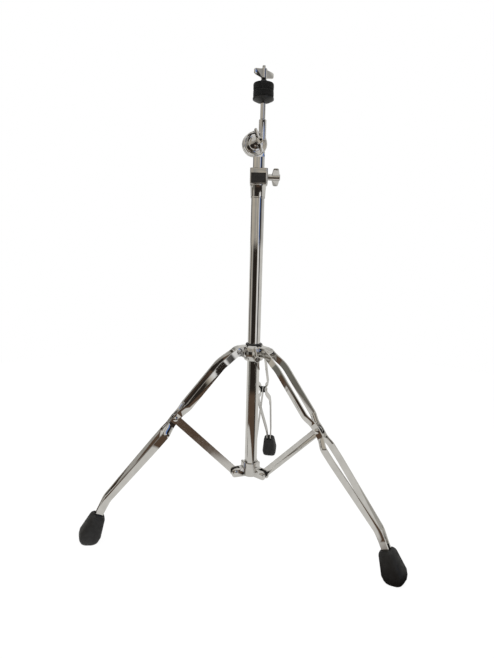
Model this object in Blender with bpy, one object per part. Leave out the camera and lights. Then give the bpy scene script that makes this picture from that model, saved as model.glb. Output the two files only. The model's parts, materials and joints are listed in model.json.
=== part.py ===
"""Folding cymbal stand: telescoping tube, double-braced tripod and a tilting cymbal rod.

Metres, +Z up. The feet stand on z = 0 and the origin is the middle of the footprint.
The rear leg points along +Y, the left and right legs lie 120 degrees to each side.
"""

import math

import bmesh
import bpy
from mathutils import Matrix, Vector

# Fits
GAP = 0.0003
TUBE_SLIDE_CLEARANCE = 0.0005

# Tripod linkage: the leg's upper link and the strut are equally long, so the collar rises straight
LINK_LENGTH = 0.180
OPEN_ANGLE = math.radians(45.4)
PIVOT_RADIUS = 0.035
LEG_AZIMUTHS = {"rear": 90.0, "left": 210.0, "right": 330.0}

# Leg strips, in the leg's own plane: distance along the link line, and bow to its upper side
STRIP_WIDTH = 0.014
STRIP_THICKNESS = 0.0028
STRIP_TIP = 0.0010
LOOP_HALF_GAP = 0.0127
ANKLE_HALF_GAP = 0.0045
FOOT_HALF_GAP = 0.0030
SHOULDER_REACH = 0.043
SHOULDER_BOW = 0.007
KNEE_BEFORE_PINCH = 0.031
SHIN_AFTER_PINCH = 0.035
TAPER_AFTER_PINCH = 0.060
SHIN_BOW = -0.0054
ANKLE_AFTER_PINCH = 0.1975
ANKLE_BOW = -0.0099
FOOT_ENTRY_AFTER_PINCH = 0.234
FOOT_ENTRY_BOW = -0.0213
STRIP_IN_FOOT = 0.022
BEND_SOFTNESS = 0.006
JOG_LENGTH = 0.017
PINCH_HALF_LENGTH = 0.015

# Rubber feet
FOOT_TILT = math.radians(20.5)
FOOT_LENGTH = 0.0620
FOOT_TOP_WIDTH = 0.0270
FOOT_WIDTH = 0.0370
FOOT_TOP_DEPTH = 0.0270
FOOT_DEPTH = 0.0410
FOOT_WIDEST = 0.64
SOLE_CUT = 0.0030

# Struts
STRUT_WIDTH = 0.016
STRUT_THICKNESS = 0.002
GROMMET_RADIUS = 0.0075
GROMMET_NECK_RADIUS = 0.0045
GROMMET_FLANGE = 0.0032

# Leg fasteners
PIN_RADIUS = 0.003
PIN_HEAD_RADIUS = 0.0050
PIN_HEAD_HEIGHT = 0.0022

# Lower bracket
BRACKET_HEIGHT = 0.0275
BRACKET_PIVOT_RISE = 0.0104
BRACKET_CHEEK = 0.003
BRACKET_HUB_WALL = 0.0032
BRACKET_LUG = 0.0045
BRACKET_ARM_END = 0.008

# Tubes
BASE_TUBE_RADIUS = 0.0127
BASE_TUBE_WALL = 0.0012
BASE_TUBE_LENGTH = 0.5865
UPPER_TUBE_RADIUS = 0.0111
UPPER_TUBE_WALL = 0.0012
UPPER_TUBE_LENGTH = 0.510
UPPER_TUBE_SHOWING = 0.0205
PLUG_FLANGE = 0.002
PLUG_DEPTH = 0.015

# Leg collar
COLLAR_TOP_RISE = 0.0108
COLLAR_BOTTOM_DROP = 0.0200
COLLAR_WALL = 0.0042
EAR_HALF_WIDTH = 0.009
EAR_WALL = 0.0025
EAR_END = 0.009
EAR_CROWN_DROP = 0.0006
EAR_SKIRT_RISE = 0.0040
COLLAR_BUSHING_WALL = 0.0014
COLLAR_FLANGE_HEIGHT = 0.003
COLLAR_FLANGE_RADIUS = 0.0166
COLLAR_BOLT_AZIMUTH = 289.0
COLLAR_BOLT_LEAN = math.radians(12.0)
COLLAR_BOLT_DROP = 0.010

# Height clamp
JOINT_TURN = 9.0
JOINT_SLEEVE_LENGTH = 0.0245
JOINT_SLEEVE_RADIUS = 0.0151
JOINT_LIP_RADIUS = 0.0139
JOINT_RING_RADIUS = 0.0158
JOINT_BLOCK_HEIGHT = 0.0305
JOINT_BLOCK_WIDTH = 0.0320
JOINT_BLOCK_PAD = 0.0018
JOINT_CAP_HEIGHT = 0.0090
JOINT_PANEL_DEPTH = 0.0015
JOINT_PANEL_MARGIN = 0.0020
CLAMP_BOLT_ROLL = math.radians(54.0)

# Wing heads, one pattern for every hand screw
WING_SPAN = 0.046
WING_HUB_RADIUS = 0.0060
WING_HUB_LENGTH = 0.0220
WING_THICKNESS = 0.0036
WING_ROOT_START = 0.0055
WING_TIP_START = 0.0090
WING_TIP_END = 0.0185
WING_TIP_ROUND = 0.0035
HAND_SCREW_RADIUS = 0.004

# Tilter
TILTER_TURN = 24.0
TILTER_OFFSET = 0.010
TILTER_HEIGHT_ABOVE_TUBE = 0.0230
DISC_RADIUS = 0.0222
LOWER_DISC_THICKNESS = 0.010
UPPER_DISC_THICKNESS = 0.0095
JOINT_PLANE_DEPTH = 0.002
FRICTION_DISC_THICKNESS = 0.001
FRICTION_DISC_RADIUS = 0.0200
SPIGOT_LENGTH = 0.032
DISH_DEPTH = 0.0018
DISH_RIM = 0.0030
TILTER_SCREW_REACH = 0.022
BOLT_HEAD_RADIUS = 0.0072
BOLT_HEAD_HEIGHT = 0.0053
TILTER_HANDLE_LEAN = math.radians(-18.8)
TILTER_HANDLE_HUB = 0.0290

# Cymbal rod and what it carries
ROD_OFFSET = 0.0030
HOLDER_RADIUS = 0.007
HOLDER_RISE = 0.044
HOLDER_START = 0.0072
ROD_RADIUS = 0.00475
ROD_SHOWING = 0.029
ROD_IN_HOLDER = 0.0175
ROD_THREAD_RADIUS = 0.0032
SEAT_RADIUS = 0.0197
SEAT_HEIGHT = 0.0085
FELT_RADIUS = 0.0190
LOWER_FELT_HEIGHT = 0.0125
UPPER_FELT_HEIGHT = 0.0130
SLEEVE_RADIUS = 0.0055
SLEEVE_ABOVE_FELT = 0.0050
NUT_CONE_HEIGHT = 0.003
NUT_CONE_RADIUS = 0.0040
NUT_AZIMUTH = 49.0
ROD_TIP_ABOVE_NUT = 0.005

# Facets
ROUND_STEPS = 24
SMALL_STEPS = 16
PIN_STEPS = 12
GROMMET_STEPS = 12
MERGE_DISTANCE = 0.000002

# Worked out from the sizes above
SIN_OPEN = math.sin(OPEN_ANGLE)
COS_OPEN = math.cos(OPEN_ANGLE)
GROMMET_HALF = STRUT_THICKNESS / 2 + GAP + GROMMET_FLANGE
PINCH_HALF_GAP = GROMMET_HALF + GAP
COLLAR_HALF_GAP = EAR_HALF_WIDTH + GAP
BRACKET_HALF_SLOT = GROMMET_HALF + GAP
BRACKET_HALF_WIDTH = BRACKET_HALF_SLOT + BRACKET_CHEEK


def in_leg_plane(along, bow):
    """A point of the leg's plane as (outward, up) from the collar pivot, the stand open."""
    return (along * COS_OPEN + bow * SIN_OPEN, -along * SIN_OPEN + bow * COS_OPEN)


FOOT_ENTRY = in_leg_plane(LINK_LENGTH + FOOT_ENTRY_AFTER_PINCH, FOOT_ENTRY_BOW)
FOOT_ANGLE = OPEN_ANGLE + FOOT_TILT
FOOT_AXIS = (math.cos(FOOT_ANGLE), -math.sin(FOOT_ANGLE))
FOOT_TOP_INSET = 0.004
FOOT_LOWEST = FOOT_ENTRY[1] + FOOT_AXIS[1] * (FOOT_LENGTH - FOOT_TOP_INSET)
COLLAR_PIVOT_HEIGHT = -FOOT_LOWEST - SOLE_CUT
BRACKET_PIVOT_HEIGHT = COLLAR_PIVOT_HEIGHT - 2 * LINK_LENGTH * SIN_OPEN
PINCH_RADIUS = PIVOT_RADIUS + LINK_LENGTH * COS_OPEN
PINCH_HEIGHT = BRACKET_PIVOT_HEIGHT + LINK_LENGTH * SIN_OPEN
BRACKET_BOTTOM = BRACKET_PIVOT_HEIGHT - BRACKET_PIVOT_RISE
TUBE_BOTTOM = BRACKET_BOTTOM + PLUG_FLANGE + GAP
TUBE_TOP = TUBE_BOTTOM + BASE_TUBE_LENGTH
JOINT_BORE = BASE_TUBE_RADIUS + GAP
JOINT_BLOCK_BOTTOM = TUBE_TOP
JOINT_TOP = JOINT_BLOCK_BOTTOM + JOINT_BLOCK_HEIGHT
UPPER_TUBE_TOP = JOINT_TOP + UPPER_TUBE_SHOWING
TILTER_HEIGHT = UPPER_TUBE_TOP + TILTER_HEIGHT_ABOVE_TUBE
HOLDER_TOP = TILTER_HEIGHT + HOLDER_RISE
SEAT_BOTTOM = HOLDER_TOP + ROD_SHOWING
ROD_DEPTH = -(JOINT_PLANE_DEPTH + FRICTION_DISC_THICKNESS + 2 * GAP + UPPER_DISC_THICKNESS / 2)
LOWER_FELT_BOTTOM = SEAT_BOTTOM + SEAT_HEIGHT + GAP
UPPER_FELT_BOTTOM = LOWER_FELT_BOTTOM + LOWER_FELT_HEIGHT + GAP
UPPER_FELT_TOP = UPPER_FELT_BOTTOM + UPPER_FELT_HEIGHT
NUT_BOTTOM = UPPER_FELT_TOP + SLEEVE_ABOVE_FELT + GAP
NUT_TOP = NUT_BOTTOM + NUT_CONE_HEIGHT + WING_HUB_LENGTH - WING_ROOT_START
ROD_TIP = NUT_TOP + ROD_TIP_ABOVE_NUT


def clear_scene():
    for thing in list(bpy.data.objects):
        bpy.data.objects.remove(thing, do_unlink=True)


def finish_of(name, colour, roughness, metallic):
    """A plain material of the given colour."""
    material = bpy.data.materials.new(name)
    material.use_nodes = True
    shader = material.node_tree.nodes["Principled BSDF"]
    shader.inputs["Base Color"].default_value = (*colour, 1.0)
    shader.inputs["Roughness"].default_value = roughness
    shader.inputs["Metallic"].default_value = metallic
    return material


def frame_at(name, parent, location, turn=0.0):
    """An empty that carries pieces: turn is about the vertical, in degrees."""
    empty = bpy.data.objects.new(name, None)
    bpy.context.scene.collection.objects.link(empty)
    empty.parent = parent
    empty.location = location
    empty.rotation_euler = (0.0, 0.0, math.radians(turn))
    return empty


def solid(name, bm):
    """An object at the origin from a bmesh, its faces turned outward."""
    bmesh.ops.recalc_face_normals(bm, faces=bm.faces)
    mesh = bpy.data.meshes.new(name)
    bm.to_mesh(mesh)
    bm.free()
    thing = bpy.data.objects.new(name, mesh)
    bpy.context.scene.collection.objects.link(thing)
    return thing


def applied(thing):
    """Puts the result of the modifiers into the mesh."""
    depsgraph = bpy.context.evaluated_depsgraph_get()
    mesh = bpy.data.meshes.new_from_object(thing.evaluated_get(depsgraph))
    thing.modifiers.clear()
    thing.data = mesh
    return thing


def combined(thing, tool, operation):
    """thing with tool joined on (UNION) or taken away (DIFFERENCE)."""
    modifier = thing.modifiers.new(operation.lower(), "BOOLEAN")
    modifier.operation = operation
    modifier.object = tool
    applied(thing)
    bpy.data.objects.remove(tool, do_unlink=True)
    bm = bmesh.new()
    bm.from_mesh(thing.data)
    bmesh.ops.remove_doubles(bm, verts=bm.verts, dist=MERGE_DISTANCE)
    bmesh.ops.dissolve_degenerate(bm, edges=bm.edges, dist=MERGE_DISTANCE)
    bm.to_mesh(thing.data)
    bm.free()
    return thing


def edged(thing, width, steps=1, sharper_than=40.0):
    """Small bevels on the sharp edges."""
    modifier = thing.modifiers.new("edges", "BEVEL")
    modifier.width = width
    modifier.segments = steps
    modifier.limit_method = "ANGLE"
    modifier.angle_limit = math.radians(sharper_than)
    return applied(thing)


def placed(thing, parent, location, material, turn=None):
    """Hands a finished piece to its frame, shaded smooth over its round faces."""
    if turn is not None:
        thing.data.transform(turn)
    thing.parent = parent
    thing.location = location
    thing.data.materials.clear()
    thing.data.materials.append(material)
    thing.data.shade_smooth()
    thing.data.set_sharp_from_angle(angle=math.radians(35.0))
    return thing


def lathed(name, profile, steps=ROUND_STEPS, ring=False):
    """A turned solid: profile points are (radius, height); a ring's profile closes on itself."""
    bm = bmesh.new()
    rows = []
    for radius, height in profile:
        if radius == 0.0:
            rows.append([bm.verts.new((0.0, 0.0, height))])
            continue
        angles = [2 * math.pi * k / steps for k in range(steps)]
        rows.append([bm.verts.new((radius * math.cos(a), radius * math.sin(a), height)) for a in angles])
    pairs = list(zip(rows, rows[1:]))
    if ring:
        pairs.append((rows[-1], rows[0]))
    for one, two in pairs:
        for k in range(steps):
            corners = [one[k % len(one)], one[(k + 1) % len(one)]]
            corners += [two[(k + 1) % len(two)], two[k % len(two)]]
            unique = list(dict.fromkeys(corners))
            if len(unique) > 2:
                bm.faces.new(unique)
    return solid(name, bm)


def tube(name, outer, inner, low, high, steps=ROUND_STEPS):
    return lathed(name, [(outer, low), (outer, high), (inner, high), (inner, low)], steps, ring=True)


def rod(name, radius, low, high, steps=SMALL_STEPS):
    return lathed(name, [(0.0, low), (radius, low), (radius, high), (0.0, high)], steps)


def rounded(corners, steps=3):
    """A closed outline from corners (x, y, radius), each radius drawn as an arc."""
    outline = []
    for k, (x, y, radius) in enumerate(corners):
        here = Vector((x, y))
        if radius == 0.0:
            outline.append(here)
            continue
        back = (Vector(corners[k - 1][:2]) - here).normalized()
        ahead = (Vector(corners[(k + 1) % len(corners)][:2]) - here).normalized()
        half = back.angle(ahead) / 2
        centre = here + (back + ahead).normalized() * (radius / math.sin(half))
        start = here + back * (radius / math.tan(half)) - centre
        end = here + ahead * (radius / math.tan(half)) - centre
        sweep = start.angle_signed(end)
        for step in range(steps + 1):
            outline.append(centre + Matrix.Rotation(-sweep * step / steps, 2) @ start)
    return outline


def extruded(name, outline, low, high):
    """A prism over a closed outline in X and Y, from low to high along Z."""
    bm = bmesh.new()
    floor = [bm.verts.new((x, y, low)) for x, y in outline]
    lid = [bm.verts.new((x, y, high)) for x, y in outline]
    bm.faces.new(floor)
    bm.faces.new(lid)
    for k in range(len(outline)):
        nxt = (k + 1) % len(outline)
        bm.faces.new((floor[k], floor[nxt], lid[nxt], lid[k]))
    return solid(name, bm)


def lofted(name, rings):
    """A closed skin through rings of equally many points, with flat ends."""
    bm = bmesh.new()
    rows = [[bm.verts.new(point) for point in ring] for ring in rings]
    count = len(rows[0])
    for one, two in zip(rows, rows[1:]):
        for k in range(count):
            nxt = (k + 1) % count
            bm.faces.new((one[k], one[nxt], two[nxt], two[k]))
    bm.faces.new(rows[0])
    bm.faces.new(rows[-1])
    return solid(name, bm)


def block(name, low, high):
    """A box from its lowest to its highest corner."""
    outline = [(low[0], low[1]), (high[0], low[1]), (high[0], high[1]), (low[0], high[1])]
    return extruded(name, outline, low[2], high[2])


ALONG_Y = Matrix.Rotation(math.radians(-90.0), 4, "X")
TOWARD_FRONT = Matrix.Rotation(math.radians(90.0), 4, "X")
ALONG_X = Matrix.Rotation(math.radians(90.0), 4, "Y")


def turned(thing, turn):
    thing.data.transform(turn)
    return thing


def shifted(thing, x=0.0, y=0.0, z=0.0):
    thing.data.transform(Matrix.Translation((x, y, z)))
    return thing


def upright_plate(name, outline, half_width):
    """An outline in (outward, up) given a width to both sides of the leg's plane."""
    return turned(extruded(name, outline, -half_width, half_width), TOWARD_FRONT)


def cross_hole(radius, half_length, x=0.0, z=0.0):
    """A cutter along Y."""
    hole = turned(rod("hole", radius, -half_length, half_length, PIN_STEPS), ALONG_Y)
    return shifted(hole, x=x, z=z)


# Leg strips and their bends


def broken_line(points, at):
    """Height of a line through points at one place along it."""
    for (x0, y0), (x1, y1) in zip(points, points[1:]):
        if at <= x1:
            return y0 + (y1 - y0) * (at - x0) / (x1 - x0)
    return points[-1][1]


def softened_line(points, at, softness):
    """The same line with its corners eased over a length of 2 x softness."""
    samples = 8
    total = sum(broken_line(points, at + softness * (2 * k / samples - 1)) for k in range(samples + 1))
    return total / (samples + 1)


def strip_bow_points():
    """Corners of the strip's edge line within the leg's plane."""
    beyond = LINK_LENGTH + FOOT_ENTRY_AFTER_PINCH + FOOT_LENGTH
    fall = FOOT_LENGTH * math.tan(FOOT_TILT)
    return [
        (-SHOULDER_REACH, -SHOULDER_BOW),
        (SHOULDER_REACH, SHOULDER_BOW),
        (LINK_LENGTH - KNEE_BEFORE_PINCH, 0.0),
        (LINK_LENGTH, 0.0),
        (LINK_LENGTH + SHIN_AFTER_PINCH, SHIN_BOW),
        (LINK_LENGTH + ANKLE_AFTER_PINCH, ANKLE_BOW),
        (LINK_LENGTH + FOOT_ENTRY_AFTER_PINCH, FOOT_ENTRY_BOW),
        (beyond, FOOT_ENTRY_BOW - fall),
    ]


def strip_spread_points():
    """Corners of the strip's sideways line: in at the collar, the pinch and the foot."""
    pinch_start = LINK_LENGTH - PINCH_HALF_LENGTH
    pinch_end = LINK_LENGTH + PINCH_HALF_LENGTH
    ankle = LINK_LENGTH + ANKLE_AFTER_PINCH
    return [
        (-SHOULDER_REACH, COLLAR_HALF_GAP),
        (STRIP_WIDTH, COLLAR_HALF_GAP),
        (STRIP_WIDTH + JOG_LENGTH, LOOP_HALF_GAP),
        (pinch_start - JOG_LENGTH, LOOP_HALF_GAP),
        (pinch_start, PINCH_HALF_GAP),
        (pinch_end, PINCH_HALF_GAP),
        (pinch_end + JOG_LENGTH, LOOP_HALF_GAP),
        (LINK_LENGTH + TAPER_AFTER_PINCH, LOOP_HALF_GAP),
        (ankle, ANKLE_HALF_GAP),
        (ankle + JOG_LENGTH, FOOT_HALF_GAP),
        (ankle + FOOT_LENGTH, FOOT_HALF_GAP),
    ]


def strip_stations():
    """Places along the strip where it needs a section."""
    last = LINK_LENGTH + FOOT_ENTRY_AFTER_PINCH + STRIP_IN_FOOT
    half = STRIP_WIDTH / 2
    stations = [half * (1 - math.cos(math.pi * k / 8)) - half for k in range(5)]
    for corner, _ in strip_bow_points() + strip_spread_points():
        stations += [corner - BEND_SOFTNESS / 2, corner + BEND_SOFTNESS / 2]
    stations = sorted(place for place in stations if -half <= place < last) + [last]
    kept = [stations[0]]
    for place in stations[1:]:
        if place - kept[-1] > STRIP_THICKNESS / 2 or place < 0:
            kept.append(place)
    return kept


def leg_strip(name, side):
    """One bent flat bar of a leg; side is +1 or -1 across the leg's plane."""
    bows = strip_bow_points()
    spreads = strip_spread_points()
    half_end = STRIP_WIDTH / 2
    rings = []
    for along in strip_stations():
        out, up = in_leg_plane(along, softened_line(bows, along, BEND_SOFTNESS))
        before = softened_line(bows, along - BEND_SOFTNESS, BEND_SOFTNESS)
        after = softened_line(bows, along + BEND_SOFTNESS, BEND_SOFTNESS)
        lean = math.atan2(after - before, 2 * BEND_SOFTNESS)
        spread = softened_line(spreads, along, BEND_SOFTNESS / 2)
        half = half_end
        if along < 0:
            half = math.sqrt(max(half_end ** 2 - along ** 2, STRIP_TIP ** 2))
        far = spread + STRIP_THICKNESS
        section = [(-half, spread), (half, spread), (half, far), (-half, far)]
        across = in_leg_plane(-math.sin(lean), math.cos(lean))
        ring = [(out + across[0] * w, side * t, up + across[1] * w) for w, t in section]
        rings.append(ring)
    strip = lofted(name, rings)
    reach = LOOP_HALF_GAP * 2
    combined(strip, cross_hole(PIN_RADIUS + GAP, reach), "DIFFERENCE")
    pinch_x, pinch_z = in_leg_plane(LINK_LENGTH, 0.0)
    return combined(strip, cross_hole(PIN_RADIUS + GAP, reach, pinch_x, pinch_z), "DIFFERENCE")


# Rubber feet


def foot_ring(along, width, depth):
    """One cross section of the foot: a soft rectangle square to its axis."""
    ring = []
    count = 20
    for k in range(count):
        angle = 2 * math.pi * k / count
        x = math.copysign(abs(math.cos(angle)) ** 0.55, math.cos(angle)) * depth / 2
        y = math.copysign(abs(math.sin(angle)) ** 0.55, math.sin(angle)) * width / 2
        out = FOOT_ENTRY[0] + FOOT_AXIS[0] * along - FOOT_AXIS[1] * x
        up = FOOT_ENTRY[1] + FOOT_AXIS[1] * along + FOOT_AXIS[0] * x
        ring.append((out, y, up))
    return ring


def rubber_foot(name):
    """A tapered rubber boot with a raised mouth, two slots for the strips and a flat sole."""
    stages = [
        (0.000, 0.55, 0.55), (0.000, 0.80, 0.80), (0.030, 0.90, 0.91), (0.065, 0.97, 0.98),
        (0.110, 1.00, 1.00), (0.40, 1.00, 1.00), (0.64, 1.00, 1.00), (0.79, 0.95, 0.93),
        (0.90, 0.83, 0.77), (0.97, 0.64, 0.55), (1.0, 0.42, 0.34),
    ]
    rings = []
    for share, wide, deep in stages:
        growth = min(share / FOOT_WIDEST, 1.0)
        width = (FOOT_TOP_WIDTH + (FOOT_WIDTH - FOOT_TOP_WIDTH) * growth) * wide
        depth = (FOOT_TOP_DEPTH + (FOOT_DEPTH - FOOT_TOP_DEPTH) * growth) * deep
        rings.append(foot_ring(share * FOOT_LENGTH - FOOT_TOP_INSET, width, depth))
    rings[0] = foot_ring(-FOOT_TOP_INSET + 0.0008, FOOT_TOP_WIDTH * 0.5, FOOT_TOP_DEPTH * 0.5)
    foot = lofted(name, rings)
    floor = -COLLAR_PIVOT_HEIGHT
    sole = block("sole", (0.0, -1.0, floor - 1.0), (1.0, 1.0, floor))
    combined(foot, sole, "DIFFERENCE")
    slot_half = STRIP_WIDTH / 2 + GAP * 2
    depth = STRIP_IN_FOOT / math.cos(FOOT_TILT) + GAP * 3
    for side in (1, -1):
        edges = sorted((side * (FOOT_HALF_GAP - GAP), side * (FOOT_HALF_GAP + STRIP_THICKNESS + GAP)))
        slot = block("slot", (-FOOT_LENGTH, edges[0], -slot_half), (depth, edges[1], slot_half))
        turned(slot, Matrix.Rotation(FOOT_ANGLE, 4, "Y"))
        shifted(slot, x=FOOT_ENTRY[0], z=FOOT_ENTRY[1])
        combined(foot, slot, "DIFFERENCE")
    return foot


# Struts, grommets and pins


def strut_bar(name):
    """A flat bar with round ends from the bracket pivot up to the pinch."""
    end = STRUT_WIDTH / 2
    outline = []
    for centre, start in ((LINK_LENGTH, -90.0), (0.0, 90.0)):
        for k in range(7):
            angle = math.radians(start + 30.0 * k)
            outline.append((centre + end * math.cos(angle), end * math.sin(angle)))
    bar = turned(extruded(name, outline, -STRUT_THICKNESS / 2, STRUT_THICKNESS / 2), TOWARD_FRONT)
    for x in (0.0, LINK_LENGTH):
        combined(bar, cross_hole(GROMMET_NECK_RADIUS + GAP, 0.01, x=x), "DIFFERENCE")
    return turned(bar, Matrix.Rotation(-OPEN_ANGLE, 4, "Y"))


def grommet(name):
    """A black bush that snaps into the strut's hole, with a flange on each side of the strut."""
    neck = STRUT_THICKNESS / 2 + GAP
    bore = PIN_RADIUS + GAP
    profile = [
        (bore, -GROMMET_HALF), (GROMMET_RADIUS, -GROMMET_HALF), (GROMMET_RADIUS, -neck),
        (GROMMET_NECK_RADIUS, -neck), (GROMMET_NECK_RADIUS, neck), (GROMMET_RADIUS, neck),
        (GROMMET_RADIUS, GROMMET_HALF), (bore, GROMMET_HALF),
    ]
    return turned(lathed(name, profile, GROMMET_STEPS, ring=True), ALONG_Y)


def headed_pin(name, half_grip, head_radius=PIN_HEAD_RADIUS, socket=0.0):
    """A pin along Y with a domed head on both ends; socket is the radius of a driver hole."""
    seat = half_grip + GAP
    dome = [(1.0, 0.0), (0.92, 0.45), (0.60, 0.85)]
    front = [(head_radius * r, seat + PIN_HEAD_HEIGHT * h) for r, h in dome]
    if socket:
        front = front[:2] + [(socket, front[1][1]), (socket, seat + PIN_HEAD_HEIGHT * 0.1)]
    back = [(head_radius * r, -seat - PIN_HEAD_HEIGHT * h) for r, h in reversed(dome)]
    ends = ((0.0, -seat - PIN_HEAD_HEIGHT), (0.0, front[-1][1] if socket else seat + PIN_HEAD_HEIGHT))
    profile = [ends[0]] + back + [(PIN_RADIUS, -seat), (PIN_RADIUS, seat)] + front + [ends[1]]
    return turned(lathed(name, profile, PIN_STEPS), ALONG_Y)


# Lower bracket


def bracket_cheek_outline():
    """Side view of one arm, from the hub out round the strut's pivot."""
    tip = PIVOT_RADIUS + BRACKET_ARM_END
    inner = BASE_TUBE_RADIUS + BRACKET_HUB_WALL / 2
    rise = BRACKET_PIVOT_RISE + BRACKET_ARM_END
    return rounded([
        (inner, 0.0, 0.0), (tip, 0.0, BRACKET_ARM_END * 0.8), (tip, rise, BRACKET_ARM_END * 0.8),
        (inner + BRACKET_LUG, rise, 0.002), (inner + BRACKET_LUG, BRACKET_HEIGHT + 0.003, 0.002),
        (inner, BRACKET_HEIGHT + 0.003, 0.0),
    ])


def lower_bracket(name):
    """A star of three forked arms round the foot of the tube."""
    hub_radius = BASE_TUBE_RADIUS + GAP + BRACKET_HUB_WALL
    star = rod(name, hub_radius, 0.0, BRACKET_HEIGHT, ROUND_STEPS)
    for azimuth in LEG_AZIMUTHS.values():
        spin = Matrix.Rotation(math.radians(azimuth), 4, "Z")
        arm = edged(upright_plate("arm", bracket_cheek_outline(), BRACKET_HALF_WIDTH), 0.0006)
        combined(star, turned(arm, spin), "UNION")
    for azimuth in LEG_AZIMUTHS.values():
        spin = Matrix.Rotation(math.radians(azimuth), 4, "Z")
        start = PIVOT_RADIUS - STRUT_WIDTH / 2 - 0.002
        slot = block("slot", (start, -BRACKET_HALF_SLOT, -0.01), (0.1, BRACKET_HALF_SLOT, 0.1))
        combined(star, turned(slot, spin), "DIFFERENCE")
        hole = cross_hole(PIN_RADIUS + GAP, 0.02, PIVOT_RADIUS, BRACKET_PIVOT_RISE)
        combined(star, turned(hole, spin), "DIFFERENCE")
    bore = rod("bore", BASE_TUBE_RADIUS + GAP, -0.01, 0.1, ROUND_STEPS)
    combined(star, bore, "DIFFERENCE")
    return star


# Leg collar


def ear_outline():
    """Side view of one collar ear, heights from the pivot."""
    inner = BASE_TUBE_RADIUS + 0.002
    tip = PIVOT_RADIUS + EAR_END
    top = COLLAR_TOP_RISE - EAR_CROWN_DROP
    low = EAR_SKIRT_RISE - COLLAR_BOTTOM_DROP
    return rounded([
        (inner, low, 0.0), (0.0205, low, 0.003), (0.0260, -0.0110, 0.004), (tip, -0.0095, 0.005),
        (tip, 0.0050, 0.006), (0.033, top - 0.001, 0.006), (0.020, top, 0.0), (inner, top, 0.0),
    ])


def leg_collar(name):
    """The sliding casting that carries the three legs; heights from the leg pivots."""
    bore = BASE_TUBE_RADIUS + TUBE_SLIDE_CLEARANCE + COLLAR_BUSHING_WALL + GAP
    outer = bore + COLLAR_WALL
    profile = [
        (0.0, -COLLAR_BOTTOM_DROP), (outer - 0.0012, -COLLAR_BOTTOM_DROP), (outer, -COLLAR_BOTTOM_DROP + 0.0015),
        (outer, -0.016), (outer + 0.0022, -0.012), (outer + 0.0022, 0.003), (outer, 0.0080),
        (outer - 0.0025, COLLAR_TOP_RISE), (0.0, COLLAR_TOP_RISE),
    ]
    collar = lathed(name, profile)
    for azimuth in LEG_AZIMUTHS.values():
        spin = Matrix.Rotation(math.radians(azimuth), 4, "Z")
        ear = edged(upright_plate("ear", ear_outline(), EAR_HALF_WIDTH), 0.0012)
        combined(collar, turned(ear, spin), "UNION")
    for azimuth in LEG_AZIMUTHS.values():
        spin = Matrix.Rotation(math.radians(azimuth), 4, "Z")
        half = EAR_HALF_WIDTH - EAR_WALL
        roof = COLLAR_TOP_RISE - EAR_WALL * 2
        pocket = block("pocket", (outer + 0.003, -half, -0.05), (PIVOT_RADIUS + EAR_END - EAR_WALL, half, roof))
        combined(collar, turned(pocket, spin), "DIFFERENCE")
        combined(collar, turned(cross_hole(PIN_RADIUS + GAP, 0.02, PIVOT_RADIUS, 0.0), spin), "DIFFERENCE")
    combined(collar, rod("bore", bore, -0.1, 0.1, ROUND_STEPS), "DIFFERENCE")
    boss = turned(rod("boss", WING_HUB_RADIUS, outer - 0.003, outer + 0.004), ALONG_X)
    side = Matrix.Rotation(math.radians(COLLAR_BOLT_AZIMUTH), 4, "Z")
    combined(collar, turned(shifted(boss, z=-COLLAR_BOLT_DROP), side), "UNION")
    screw_hole = turned(rod("hole", HAND_SCREW_RADIUS + GAP, bore - 0.001, 0.1), ALONG_X)
    return combined(collar, turned(shifted(screw_hole, z=-COLLAR_BOLT_DROP), side), "DIFFERENCE")


def collar_bushing(name):
    """Black lining of the collar with a flange on top and a window for the hand screw."""
    inner = BASE_TUBE_RADIUS + TUBE_SLIDE_CLEARANCE
    outer = inner + COLLAR_BUSHING_WALL
    seat = COLLAR_TOP_RISE + GAP
    profile = [
        (inner, -COLLAR_BOTTOM_DROP), (outer, -COLLAR_BOTTOM_DROP), (outer, seat), (COLLAR_FLANGE_RADIUS, seat),
        (COLLAR_FLANGE_RADIUS, seat + COLLAR_FLANGE_HEIGHT - 0.0008),
        (COLLAR_FLANGE_RADIUS - 0.0012, seat + COLLAR_FLANGE_HEIGHT), (inner, seat + COLLAR_FLANGE_HEIGHT),
    ]
    lining = lathed(name, profile, ring=True)
    window = turned(rod("window", HAND_SCREW_RADIUS + GAP, 0.005, 0.03), ALONG_X)
    side = Matrix.Rotation(math.radians(COLLAR_BOLT_AZIMUTH), 4, "Z")
    return combined(lining, turned(shifted(window, z=-COLLAR_BOLT_DROP), side), "DIFFERENCE")


# Hand screws


def wing_blades(top=WING_HUB_LENGTH):
    """Both blades of a wing head as one plate across its hub, the hub's axis along Z."""
    end = WING_SPAN / 2
    slope = WING_TIP_START - WING_ROOT_START
    root = top - (WING_HUB_LENGTH - WING_ROOT_START)
    tip_top = top - (WING_HUB_LENGTH - WING_TIP_END)
    half = [(end, root + slope, WING_TIP_ROUND), (end, tip_top, WING_TIP_ROUND)]
    mirrored = [(-x, z, r) for x, z, r in reversed(half)]
    core = WING_HUB_RADIUS * 0.8
    corners = [(-core, root, 0.0), (core, root, 0.0)] + half
    corners += [(core, top - 0.001, 0.0), (-core, top - 0.001, 0.0)] + mirrored
    return edged(upright_plate("wings", rounded(corners), WING_THICKNESS / 2), 0.0008)


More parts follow.
